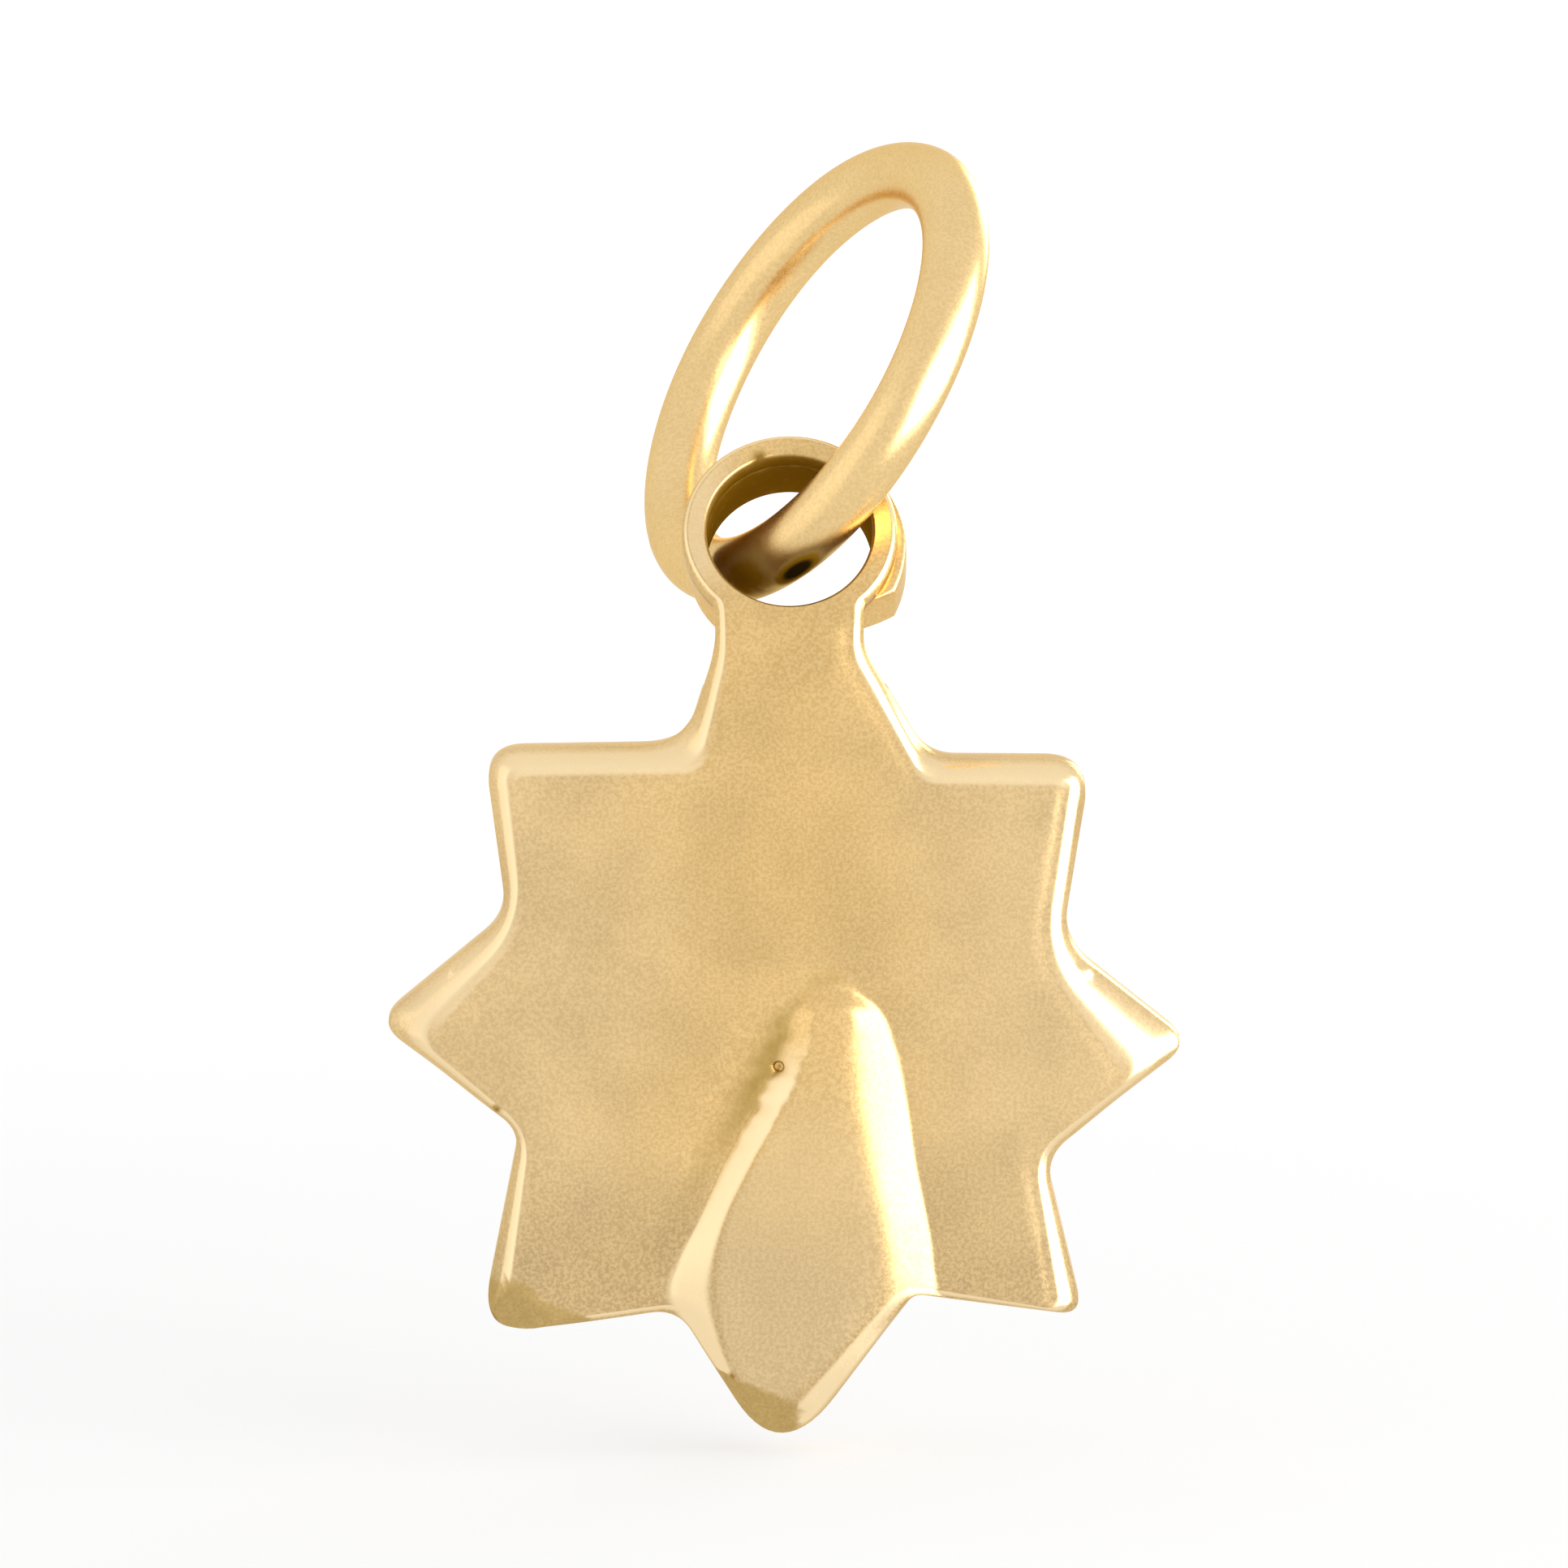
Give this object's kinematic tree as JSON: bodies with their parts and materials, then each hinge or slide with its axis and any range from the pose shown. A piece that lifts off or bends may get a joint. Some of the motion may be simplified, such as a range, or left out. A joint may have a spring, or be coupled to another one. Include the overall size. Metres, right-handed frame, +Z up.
{
  "type": "enamel flower charm",
  "caption": "Small gold star-shaped flower charm with enamel petals, a bent neck with a round eye, and a closed jump ring that it swings on.",
  "frame": {"origin": "inside of the top of the jump ring, where a chain or hook holds it", "axes": "+Z up along the charm towards the ring, +Y from the plain back to the enamel front, +X to the right as seen from the back"},
  "size_m": [0.0119, 0.0077, 0.0192],
  "materials": {
    "gold": "polished",
    "ring_gold": "polished",
    "enamel": "gloss"
  },
  "bodies": {
    "ring": {"jump_ring": "ring_gold"},
    "charm": {"back_plate": "gold", "eye_collar": "gold", "front_plate": "gold", "petal_enamel_1": "enamel", "petal_enamel_2": "enamel", "petal_enamel_3": "enamel", "petal_enamel_4": "enamel", "petal_enamel_5": "enamel", "petal_enamel_6": "enamel", "petal_enamel_7": "enamel", "petal_enamel_8": "enamel", "centre_disc": "gold", "granule_0": "ring_gold", "granule_1": "ring_gold", "granule_2": "ring_gold", "granule_3": "ring_gold", "granule_4": "ring_gold", "granule_5": "ring_gold", "granule_6": "ring_gold"}
  },
  "joints": [
    {"name": "eye_swing", "type": "hinge", "parent": "ring", "child": "charm", "pos_m": [-0.00175, -0.00288, -0.00483], "axis": [0, 0.829, -0.5592], "range_deg": [-115, 115]}
  ]
}
